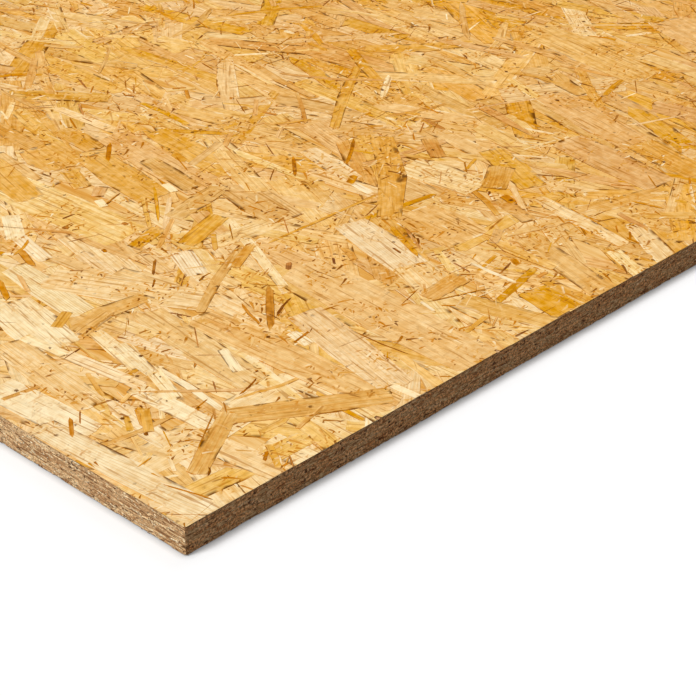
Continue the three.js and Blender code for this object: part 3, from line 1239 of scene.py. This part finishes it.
# the wood's tones from 0, the palest, to 1, the darkest, with the colours that they stand for
FACE_TONES = ((0.0, "cream"), (0.30, "honey"), (0.56, "golden"), (0.78, "orange"), (1.0, "bark"))
SAWN_TONES = ((0.0, "sawn_pale"), (0.38, "sawn"), (0.72, "sawn_dark"), (1.0, "pore"))


def toned(tree, value, stops, colours):
    """A colour for a value from 0 to 1, from stops of a position and a colour's name."""
    ramp = tree.node("ShaderNodeValToRGB", {"Fac": value})
    elements = ramp.color_ramp.elements
    elements[0].position, elements[1].position = stops[0][0], stops[-1][0]
    for position, _ in stops[1:-1]:
        elements.new(position)
    for element, (_, name) in zip(elements, stops):
        element.color = opaque(getattr(colours, name))
    return ramp.outputs["Color"]


def finish(tree, shader, colour, roughness, specular, height, strength, depth):
    """Gives a shader its colour, its gloss and its relief, where a height of 1 is depth metres."""
    bump = tree.node("ShaderNodeBump", {"Strength": strength, "Distance": depth, "Height": height})
    tree.give(shader, "Base Color", colour)
    tree.give(shader, "Roughness", roughness)
    tree.give(shader, "Specular IOR Level", specular)
    tree.give(shader, "Normal", bump.outputs["Normal"])


def strand_inputs(tree):
    """What a strand's mesh says about it: its grain map, tone, chance, half length and half width."""
    grain = tree.node("ShaderNodeUVMap", uv_map=GRAIN_MAP).outputs["UV"]
    facts = tree.node("ShaderNodeAttribute", attribute_name=STRAND, attribute_type="GEOMETRY")
    parts = tree.node("ShaderNodeSeparateColor", {"Color": facts.outputs["Color"]}).outputs
    return grain, parts[0], parts[1], parts[2], facts.outputs["Alpha"]


def facing(tree, axis, least, most):
    """1 where the surface looks straight along an axis of the sheet, either way, and 0 where not."""
    normal = tree.node("ShaderNodeNewGeometry").outputs["True Normal"]
    return tree.ramp(tree.unsigned(tree.split(normal)[axis]), least, most)


def object_place(tree):
    return tree.node("ShaderNodeTexCoord").outputs["Object"]


def shaded(tree, colour, shade):
    """A colour made brighter or darker by a number."""
    grey = tree.node("ShaderNodeCombineColor", {0: shade, 1: shade, 2: shade}).outputs[0]
    return tree.mix(1.0, colour, grey, blend="MULTIPLY")


@dataclass
class Litter:
    """A kind of loose sliver on a surface: one to each cell of a scatter."""

    spacing: float  # in millimetres, as the length and the width
    length: float
    width: float
    lean: float  # how far they may turn, in radians
    shades: tuple  # stops of colour for a chance from 0 to 1


FACE_LITTER = (
    Litter(4.2, 5.2, 1.25, 5.0, ((0.0, "honey"), (0.45, "golden"), (0.78, "orange"), (1.0, "bark"))),
    Litter(7.5, 9.0, 1.55, 4.0, ((0.0, "cream"), (0.25, "golden"), (0.76, "orange"), (1.0, "bark"))),
    Litter(14.0, 17.0, 1.9, 3.0, ((0.0, "honey"), (0.3, "golden"), (0.75, "orange"), (1.0, "bark"))),
)
SIDE_LITTER = (
    Litter(1.5, 1.9, 0.55, 1.6, ((0.0, "sawn_pale"), (0.4, "sawn"), (0.75, "sawn_dark"), (1.0, "pore"))),
    Litter(2.9, 3.6, 0.75, 0.8, ((0.0, "sawn_pale"), (0.45, "sawn"), (0.8, "sawn_dark"), (1.0, "pore"))),
)


def add_litter(tree, wood, place, kinds, colours, gate):
    """Lays loose slivers over a colour: the new colour, and where each kind lies."""
    masks = []
    for kind in kinds:
        sliver = tree.group(
            "Slivers", Place=place, Spacing=kind.spacing * MM, Length=kind.length * MM,
            Width=kind.width * MM, Lean=kind.lean,
        )
        mask = tree.times(sliver["Sliver"], gate)
        wood = tree.mix(mask, wood, toned(tree, sliver["Chance"], kind.shades, colours))
        masks.append(mask)
    return wood, masks


ARRIS_SHADE_REACH = 1.2 * MM  # how far from its two arrises a sawn side is darkened with painted shade


def dusky(tree, wood, height):
    """Paints shade on a sawn side: shadow under its upper arris and contact shadow along its lower one."""
    # painted shadow under the upper arris
    upper = tree.ramp(height, THICKNESS - ARRIS_SHADE_REACH, THICKNESS - ARRIS_SHADE_REACH / 3, 1.0, 0.62)
    # painted contact shadow along the lower arris
    lower = tree.ramp(height, ARRIS_SHADE_REACH / 4, ARRIS_SHADE_REACH, 0.7, 1.0)
    return shaded(tree, wood, tree.times(upper, lower))


LATE_WOOD = (0.80, 0.58, 0.27)  # what a growth ring leaves of the wood's colour
RESIN_LINE = srgb(180, 112, 6)
GAP_AND_SHADOW, DEEP_GAP_AND_SHADOW = srgb(184, 114, 4), srgb(112, 64, 0)  # the dark line beside a strand: the gap where it parts from the next, and painted shadow on its shaded side
SPECK = srgb(108, 58, 0)


def strand_wood(tree, tone, chances, rings, fibre, cloud, colours):
    """A strand's own wood: its colour, and its tone with what drifts over the sheet added."""
    for value, low, high, less, more in (
        (cloud["Broad"], 0.3, 0.7, -0.04, 0.04),
        (cloud["Stain"], 0.54, 0.68, 0.0, 0.07),
        (cloud["Patch"], 0.3, 0.7, -0.05, 0.05),
        (cloud["Mottle"], 0.35, 0.65, -0.06, 0.06),
        (fibre["Streak"], 0.25, 0.75, -0.05, 0.05),
    ):
        tone = tree.plus(tone, tree.ramp(value, low, high, less, more))
    tone = tree.ramp(tone, 0.0, 1.0, smooth=False)
    wood = toned(tree, tone, FACE_TONES, colours)
    hue = tree.between(0.497, 0.504, chances["A"])
    strong = tree.between(0.92, 1.10, chances["B"])
    light = tree.between(0.975, 1.045, chances["C"])
    wood = tree.node(
        "ShaderNodeHueSaturation", {"Hue": hue, "Saturation": strong, "Value": light, "Color": wood}
    ).outputs[0]
    late = tree.times(rings["Late wood"], tree.ramp(chances["D"], 0.15, 0.95, 0.0, 0.55))
    wood = tree.mix(late, wood, opaque(LATE_WOOD), blend="MULTIPLY")
    for value, low, high, less, more in (
        (fibre["Fibre"], 0.3, 0.7, 0.90, 1.08),
        (fibre["Streak"], 0.25, 0.75, 1.04, 0.97),
        (cloud["Mottle"], 0.35, 0.65, 1.02, 0.98),
    ):
        wood = shaded(tree, wood, tree.ramp(value, low, high, less, more))
    return tree.mix(tree.times(fibre["Resin line"], 0.6), wood, opaque(RESIN_LINE)), tone


def rimmed(tree, wood, rim, colours):
    """Draws the dark gap beside a strand with painted shadow on its shaded side, and a painted highlight
    on the edge where it catches the light.
    """
    # the gap colours also paint the shadow on a strand's shaded side, and cream is painted on its lit edge
    # as a highlight
    gap = tree.mix(tree.ramp(rim["Ragged"], 0.5, 0.62), opaque(GAP_AND_SHADOW), opaque(DEEP_GAP_AND_SHADOW))
    wood = tree.mix(rim["Gap and shadow"], wood, gap)
    return tree.mix(tree.times(rim["Painted highlight"], 0.7), wood, opaque(colours.cream))


def litter_gate(tree, tone, cloud):
    """How thickly slivers lie: in patches, and thinly on the palest and the darkest strands."""
    gate = tree.ramp(cloud["Patch"], 0.46, 0.56, 0.15, 1.0)
    gate = tree.times(gate, tree.ramp(tone, 0.50, 0.68, 1.0, 0.15))
    return tree.times(gate, tree.ramp(tone, 0.08, 0.22, 0.3, 1.0))


def broken_wood_and_shade(tree, place, tone, colours):
    """What the slope round a strand shows: torn wood in a darker tone, which also paints shade along the
    strand's outline, and, at the sheet's borders, sawn wood with painted shade along the arrises.
    """
    # the slope is painted darker than the strand's top: torn wood, and painted shade along its outline
    torn = toned(tree, tree.plus(tone, 0.38), FACE_TONES, colours)
    sawn = toned(tree, tree.plus(tone, 0.3), SAWN_TONES, colours)
    x, y, z = tree.split(place)
    past_end = tree.minus(tree.unsigned(x), LENGTH / 2)
    past_side = tree.minus(tree.unsigned(y), WIDTH / 2)
    border = tree.ramp(tree.maths("MAXIMUM", past_end, past_side), -2 * MM, -1 * MM)
    # at the sheet's borders, sawn wood with painted shade along the arrises
    return tree.mix(border, torn, dusky(tree, sawn, z))


def face_material(colours):
    """Strands of the faces, pressed smooth under a thin film of resin."""
    tree, shader, material = new_material(FACE_FINISH)
    grain, tone, chance, half_length, half_width = strand_inputs(tree)
    place = object_place(tree)
    rings = tree.group(
        "Growth rings", Grain=grain, Chance=chance, Spacing=3.4 * MM, Stretch=9.0, Wander=6 * MM
    )
    fibre = tree.group("Wood fibre", Grain=grain, Chance=chance, Length=90 * MM)
    rim = tree.group(
        "Strand rim", Grain=grain, Chance=chance, Tone=tone, Half_length=half_length,
        Half_width=half_width, Line=2.6 * MM,
    )
    specks = tree.group("Specks", Place=place, Spacing=7 * MM, Size=1.9 * MM)
    cloud = tree.group("Cloud", Place=place)
    chances = tree.group("Chances", Chance=chance)

    tone = tree.between(tone, 0.36, tree.times(rim["Frayed"], 0.55))
    wood, drifted = strand_wood(tree, tone, chances, rings, fibre, cloud, colours)
    wood = rimmed(tree, wood, rim, colours)
    gate = litter_gate(tree, tone, cloud)
    wood, slivers = add_litter(tree, wood, place, FACE_LITTER, colours, gate)
    speck = tree.times(specks["Speck"], tree.ramp(cloud["Patch"], 0.42, 0.58, 0.35, 1.0))
    wood = tree.mix(speck, wood, opaque(SPECK))
    # steep faces take the darker torn wood, which also paints shade along each strand's outline
    wood = tree.mix(facing(tree, 2, 0.9, 0.98), broken_wood_and_shade(tree, place, drifted, colours), wood)

    rough = tree.ramp(fibre["Fibre"], 0.2, 0.8, 0.56, 0.72)
    height = tree.plus(tree.times(rings["Late wood"], 0.1), fibre["Fibre"])
    height = tree.plus(height, tree.times(cloud["Mottle"], 2.0))
    for sliver in slivers:
        height = tree.plus(height, tree.times(sliver, 0.8))
    height = tree.minus(height, tree.times(speck, 1.5))
    finish(tree, shader, wood, rough, specular=0.02, height=height, strength=0.5, depth=0.12 * MM)
    return material


SAWN_ROUGHNESS, SAWN_SPECULAR = 0.85, 0.1
SIDE_CLOUD_SCALE = 3.4  # how much finer the drifts of colour are on a sawn side


def along_side(tree, place):
    """Where a point is on any sawn side: how far along it and how high, in metres."""
    x, y, z = tree.split(place)
    return tree.vector(tree.plus(x, y), z)


def soaked_and_shaded_ends(tree, wood, up, cloud, colours):
    """Darkens the sheet's two ends, where the end grain soaks more up, and paints shade below the upper
    arris that deepens towards it.
    """
    soaked_and_shaded = shaded(tree, opaque(colours.end_grain), tree.ramp(cloud["Mottle"], 0.35, 0.65, 1.2, 0.75))
    # painted shade under the upper arris of the ends
    shade_below_arris = tree.ramp(up, THICKNESS - 1.8 * MM, THICKNESS - 0.6 * MM, 1.0, 0.55)
    soaked_and_shaded = shaded(tree, soaked_and_shaded, shade_below_arris)
    return tree.mix(facing(tree, 0, 0.5, 0.9), wood, soaked_and_shaded, blend="MULTIPLY")


def side_material(colours):
    """Strands sawn through: duller, rougher and darker than the faces, with open pores."""
    tree, shader, material = new_material(SIDE_FINISH)
    grain, tone, chance, half_length, half_width = strand_inputs(tree)
    side = along_side(tree, object_place(tree))
    fibre = tree.group("Wood fibre", Grain=grain, Chance=chance, Length=20 * MM)
    rim = tree.group(
        "Strand rim", Grain=grain, Chance=chance, Tone=tone, Half_length=half_length,
        Half_width=half_width, Line=0.3 * MM,
    )
    specks = tree.group("Specks", Place=side, Spacing=3 * MM, Size=1.5 * MM)
    cloud = tree.group("Cloud", Place=tree.scaled(side, SIDE_CLOUD_SCALE))
    streak = tree.ramp(fibre["Streak"], 0.25, 0.75, -0.10, 0.10)
    shade = tree.plus(tone, streak, clamp=True)
    wood = toned(tree, shade, SAWN_TONES, colours)
    wood = shaded(tree, wood, tree.ramp(fibre["Fibre"], 0.3, 0.7, 0.88, 1.1))
    wood = shaded(tree, wood, tree.ramp(cloud["Mottle"], 0.35, 0.65, 1.36, 0.64))
    wood, slivers = add_litter(tree, wood, side, SIDE_LITTER, colours, 0.8)
    # the dark gap beside each flake, with painted shadow on its shaded side, in the colour of the pores
    wood = tree.mix(tree.times(rim["Gap and shadow"], 0.6), wood, opaque(colours.pore))
    wood = tree.mix(tree.times(specks["Speck"], 0.85), wood, opaque(colours.pore))
    up = tree.split(side)[1]
    # painted shade along the arrises, then the darker ends with their painted shade under the upper arris
    wood = soaked_and_shaded_ends(tree, dusky(tree, wood, up), up, cloud, colours)
    height = tree.minus(fibre["Fibre"], tree.times(specks["Speck"], 2.0))
    for sliver in slivers:
        height = tree.plus(height, sliver)
    finish(tree, shader, wood, SAWN_ROUGHNESS, SAWN_SPECULAR, height, strength=0.7, depth=0.2 * MM)
    return material


def body_material(colours):
    """What shows between the strands and on the worn arrises: more of the same wood, deeper in."""
    tree, shader, material = new_material(BODY_FINISH)
    place = object_place(tree)
    along, across, up = tree.split(place)
    stretched = tree.vector(
        tree.times(along, 20.0),
        tree.times(across, 240.0),
        tree.times(up, 900.0),
    )
    fibre = tree.noise(stretched, 3.0, 0.6)
    wood = toned(tree, tree.ramp(fibre, 0.25, 0.75, 0.25, 0.7), FACE_TONES, colours)
    sawn = toned(tree, tree.ramp(fibre, 0.25, 0.75, 0.35, 0.95), SAWN_TONES, colours)
    # upright faces take sawn wood with painted shade along the arrises
    wood = tree.mix(facing(tree, 2, 0.98, 0.999), dusky(tree, sawn, up), wood)
    finish(tree, shader, wood, SAWN_ROUGHNESS, SAWN_SPECULAR, fibre, strength=0.5, depth=0.2 * MM)
    return material


def finish_named(name):
    """A finish that an earlier step built, or a plain error that says which step to run."""
    material = bpy.data.materials.get(name)
    if material is None:
        raise RuntimeError(f"no finish named {name!r}: run the finishes step first")
    return material


# ---- Operators ----


def declare(piece):
    """Says what a finished piece is: part of the sheet's body, shown in its stead."""
    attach(piece, BODY)
    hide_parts(NODE)


class OSB_OT_finishes(bpy.types.Operator):
    """Build the node groups and the finishes of the faces, the sawn sides and the wood under them"""

    bl_idname = "osb.finishes"
    bl_label = "Finishes"
    bl_options = {"REGISTER", "UNDO"}

    def execute(self, context):
        for build in GROUPS:
            build()
        for build in (face_material, side_material, body_material):
            build(context.scene.osb_colours)
        return {"FINISHED"}


class OSB_OT_top_and_sides(bpy.types.Operator):
    """Lay the strands of the top face and the flakes of the four sawn sides, in blocks"""

    bl_idname = "osb.top_and_sides"
    bl_label = "Top and sawn sides"
    bl_options = {"REGISTER", "UNDO"}

    def execute(self, context):
        settings = context.scene.osb_sheet
        materials = [finish_named(name) for name in (FACE_FINISH, SIDE_FINISH)]
        faces = {face.name: face for face in sheet_faces(settings)}
        beds = [(lay_face(faces["top"], settings, SEED, SHOWN_STRANDS), FACE_SLOT)]
        for seed, (name, gap) in enumerate(SIDE_GAPS.items(), SEED + 10):
            beds.append((lay_side(faces[name], gap, settings, seed), SIDE_SLOT))
        for (column, row), mesh in sort_chips(beds):
            name = f"osb_block_{column + 1}_{row + 1}"
            block = cut_block(name, column, row, settings)
            block.data.materials.clear()
            for material in (*materials, finish_named(BODY_FINISH)):
                block.data.materials.append(material)
            block.data.polygons.foreach_set("material_index", [BODY_SLOT] * len(block.data.polygons))
            strands = mesh.build(name + "_strands", materials)
            select_only(strands)
            block.select_set(True)
            bpy.context.view_layer.objects.active = block
            bpy.ops.object.join()
            map_block(block, column, row)
            declare(block)
        return {"FINISHED"}


class OSB_OT_underside(bpy.types.Operator):
    """Lay the strands of the underside, in blocks"""

    bl_idname = "osb.underside"
    bl_label = "Underside"
    bl_options = {"REGISTER", "UNDO"}

    def execute(self, context):
        settings = context.scene.osb_sheet
        material = finish_named(FACE_FINISH)
        face = next(face for face in sheet_faces(settings) if face.name == "underside")
        bed = lay_face(face, settings, SEED + 1)
        for (column, row), mesh in sort_chips([(bed, FACE_SLOT)]):
            piece = mesh.build(f"osb_underside_{column + 1}_{row + 1}", [material])
            map_block(piece, column, row)
            declare(piece)
        return {"FINISHED"}


CORNER_PIXEL = (184.6, 527.2)  # where the near upper corner is seen, from the upper left
PICTURE_PIXELS = 696
SENSOR = 36.0


def aim_camera(camera, studio):
    """Stands the camera so that the near upper corner is seen at its place in the picture."""
    azimuth, elevation = studio.azimuth, studio.elevation
    back = Vector((
        math.sin(azimuth) * math.cos(elevation),
        -math.cos(azimuth) * math.cos(elevation),
        math.sin(elevation),
    ))
    right = Vector((math.cos(azimuth), math.sin(azimuth), 0))
    up = back.cross(right)
    metres_per_pixel = studio.distance * SENSOR / (studio.lens * PICTURE_PIXELS)
    shift_right = (CORNER_PIXEL[0] - PICTURE_PIXELS / 2) * metres_per_pixel
    shift_up = (PICTURE_PIXELS / 2 - CORNER_PIXEL[1]) * metres_per_pixel
    corner = Vector((HIGH.x, LOW.y, HIGH.z))
    camera.location = corner - right * shift_right - up * shift_up + back * studio.distance
    camera.rotation_euler = Matrix((right, up, back)).transposed().to_euler()
    camera.data.lens = studio.lens
    camera.data.sensor_width = SENSOR
    camera.data.clip_start = 0.05
    camera.data.clip_end = 200


CONTACT = 5 * MM  # how far the painted contact shadow under the sheet's edge reaches over the floor
FLOOR_GREY = 0.22  # what the floor throws back on the sheet
FLOOR_PALE, FLOOR_GLOW = 0.68, 0.35  # the floor that is seen: together white where no shadow falls


def rays_that_see(tree):
    """1 for the camera's rays, straight or by way of gloss or glass, and 0 for all other light."""
    path = tree.node("ShaderNodeLightPath").outputs
    turned = tree.maths("MAXIMUM", path["Is Glossy Ray"], path["Is Transmission Ray"])
    return tree.maths("MAXIMUM", path["Is Camera Ray"], turned)


def floor_material():
    """White to the eye, with the sheet's soft shadow and a painted contact shadow along its edges, and a
    dull grey to all other light.
    """
    tree, shader, material = new_material("studio floor")
    material.node_tree.nodes.remove(shader)
    output = material.node_tree.nodes["Material Output"]
    grey, pale = (
        tree.node("ShaderNodeBsdfDiffuse", {"Color": opaque((level,) * 3)}).outputs[0]
        for level in (FLOOR_GREY, FLOOR_PALE)
    )
    dark, glow = (
        tree.node("ShaderNodeEmission", {"Color": opaque((level,) * 3)}).outputs[0]
        for level in (0.0, FLOOR_GLOW)
    )
    # an ambient occlusion mask paints a contact shadow on the floor where the sheet's edge is near
    open_sky = tree.node("ShaderNodeAmbientOcclusion", {"Distance": CONTACT}, samples=8).outputs["AO"]
    contact = tree.ramp(open_sky, 0.4, 1.0, 0.6, 1.0, smooth=False)
    white = tree.node("ShaderNodeAddShader", {0: pale, 1: glow}).outputs[0]
    white = tree.node("ShaderNodeMixShader", {0: contact, 1: dark, 2: white}).outputs[0]
    both = tree.node("ShaderNodeMixShader", {0: rays_that_see(tree), 1: grey, 2: white}).outputs[0]
    tree.give(output, "Surface", both)
    return material


def light_world(studio):
    """An even sky, white where the camera sees it."""
    world = bpy.data.worlds.new("studio sky")
    world.use_nodes = True
    tree = Tree(world.node_tree)
    background = world.node_tree.nodes["Background"]
    tree.give(background, "Color", (1, 1, 1, 1))
    tree.give(background, "Strength", tree.between(studio.sky_strength, 1.0, rays_that_see(tree)))
    bpy.context.scene.world = world


KEY_FROM = (-0.20, -0.74, 1.0)  # from the front, a little to the left
FILL_FROM = (-0.40, 0.75, 0.85)  # from behind


def add_lamp(name, come_from, strength, size):
    """A far lamp that gives a face that looks up this share of full light."""
    towards = Vector(come_from).normalized()
    bpy.ops.object.light_add(type="SUN", rotation=towards.to_track_quat("Z", "Y").to_euler())
    lamp = bpy.context.active_object
    lamp.name = name
    lamp.data.energy = math.pi * strength / towards.z
    lamp.data.angle = size


class OSB_OT_studio(bpy.types.Operator):
    """Build the floor, the lamps and the camera"""

    bl_idname = "osb.studio"
    bl_label = "Studio"
    bl_options = {"REGISTER", "UNDO"}

    def execute(self, context):
        studio = context.scene.osb_studio
        bpy.ops.object.select_all(action="DESELECT")
        bpy.ops.mesh.primitive_plane_add(size=60, location=(0, 0, 0))
        floor = context.active_object
        floor.name = "studio_floor"
        floor.data.materials.append(floor_material())

        add_lamp("key_lamp", KEY_FROM, studio.key_strength, studio.key_size)
        add_lamp("fill_lamp", FILL_FROM, studio.fill_strength, 2 * studio.key_size)
        light_world(studio)

        bpy.ops.object.camera_add()
        camera = context.active_object
        camera.name = "picture_camera"
        aim_camera(camera, studio)
        context.scene.camera = camera
        context.scene.view_settings.view_transform = "Standard"
        return {"FINISHED"}


class OSB_PT_panel(bpy.types.Panel):
    """The steps of the panel, in order."""

    bl_idname = "OSB_PT_panel"
    bl_label = "OSB Panel"
    bl_space_type = "VIEW_3D"
    bl_region_type = "UI"
    bl_category = "OSB Panel"

    def draw(self, context):
        for settings in ("osb_sheet", "osb_colours", "osb_studio"):
            box = self.layout.box()
            group = getattr(context.scene, settings)
            for name in group.__annotations__:
                box.prop(group, name)
        for step in STEPS:
            self.layout.operator(step.bl_idname)


SETTINGS = {"osb_sheet": OSB_PG_sheet, "osb_colours": OSB_PG_colours, "osb_studio": OSB_PG_studio}
STEPS = (OSB_OT_studio, OSB_OT_finishes, OSB_OT_top_and_sides, OSB_OT_underside)


def register():
    for cls in (*SETTINGS.values(), *STEPS, OSB_PT_panel):
        bpy.utils.register_class(cls)
    for name, cls in SETTINGS.items():
        setattr(bpy.types.Scene, name, bpy.props.PointerProperty(type=cls))


def unregister():
    for name in SETTINGS:
        delattr(bpy.types.Scene, name)
    for cls in (OSB_PT_panel, *STEPS, *SETTINGS.values()):
        bpy.utils.unregister_class(cls)


def main():
    register()
    bpy.ops.osb.studio()
    bpy.ops.osb.finishes()
    bpy.ops.osb.top_and_sides()
    bpy.ops.osb.underside()


if __name__ == "__main__":
    main()
